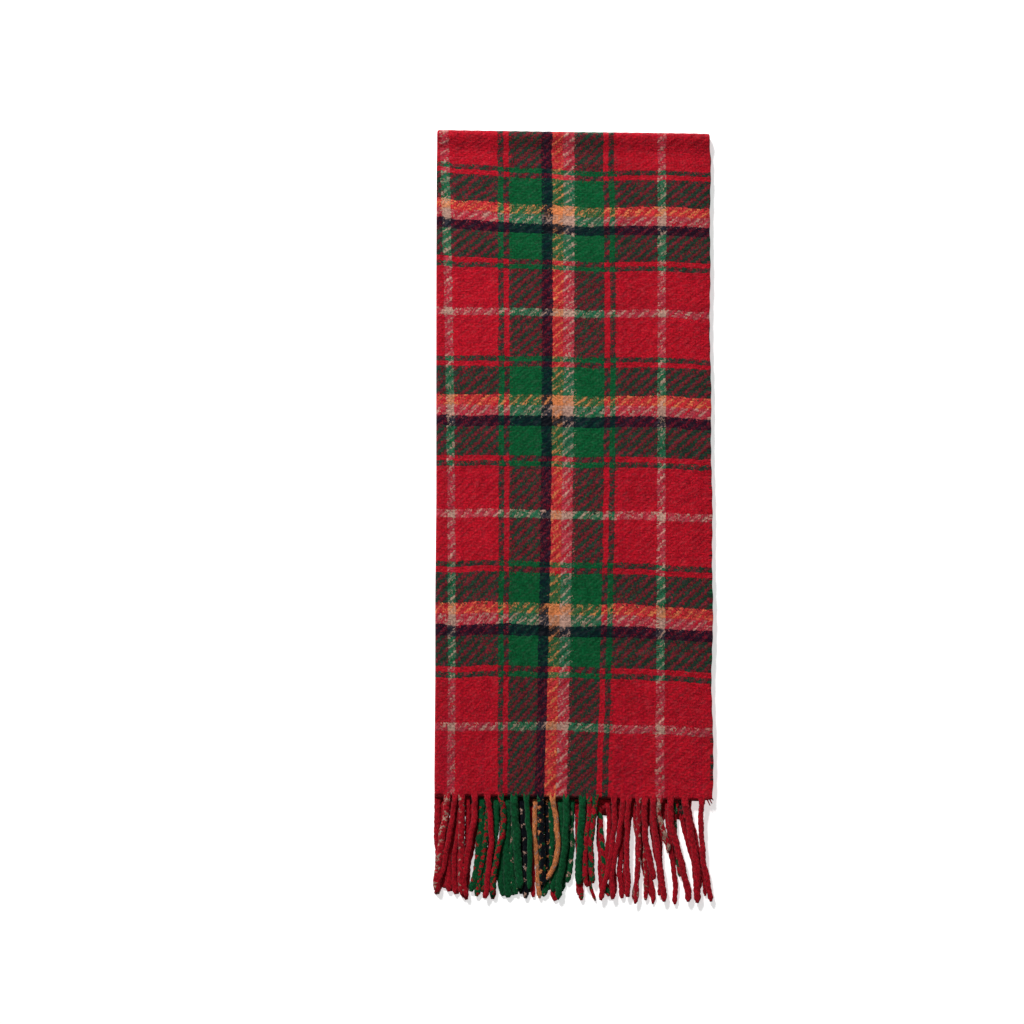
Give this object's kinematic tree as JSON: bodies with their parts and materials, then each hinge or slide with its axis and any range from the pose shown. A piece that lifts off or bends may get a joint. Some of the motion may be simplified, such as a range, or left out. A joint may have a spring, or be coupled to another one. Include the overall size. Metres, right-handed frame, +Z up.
{
  "type": "folded tartan blanket scarf",
  "caption": "Tartan blanket scarf folded lengthwise and crosswise, lying flat, with rounded folds and twisted fringes along the hem.",
  "frame": {"origin": "on the surface it lies on, under the middle of the scarf's box, fringes included", "axes": "+X across, from the long fold to the selvedges; +Y along, from the fringes to the cross fold; +Z up"},
  "size_m": [0.3498, 0.9627, 0.0168],
  "materials": {
    "tartan_twill": "brushed wool twill, matt with a soft nap",
    "twisted_fringe": "twisted two-ply wool, matt and fuzzy"
  },
  "bodies": {
    "root": {"top_layer": "tartan_twill", "folded_under": "tartan_twill", "fringe_top": "twisted_fringe", "fringe_second": "twisted_fringe", "fringe_third": "twisted_fringe", "fringe_bottom": "twisted_fringe"}
  },
  "joints": []
}
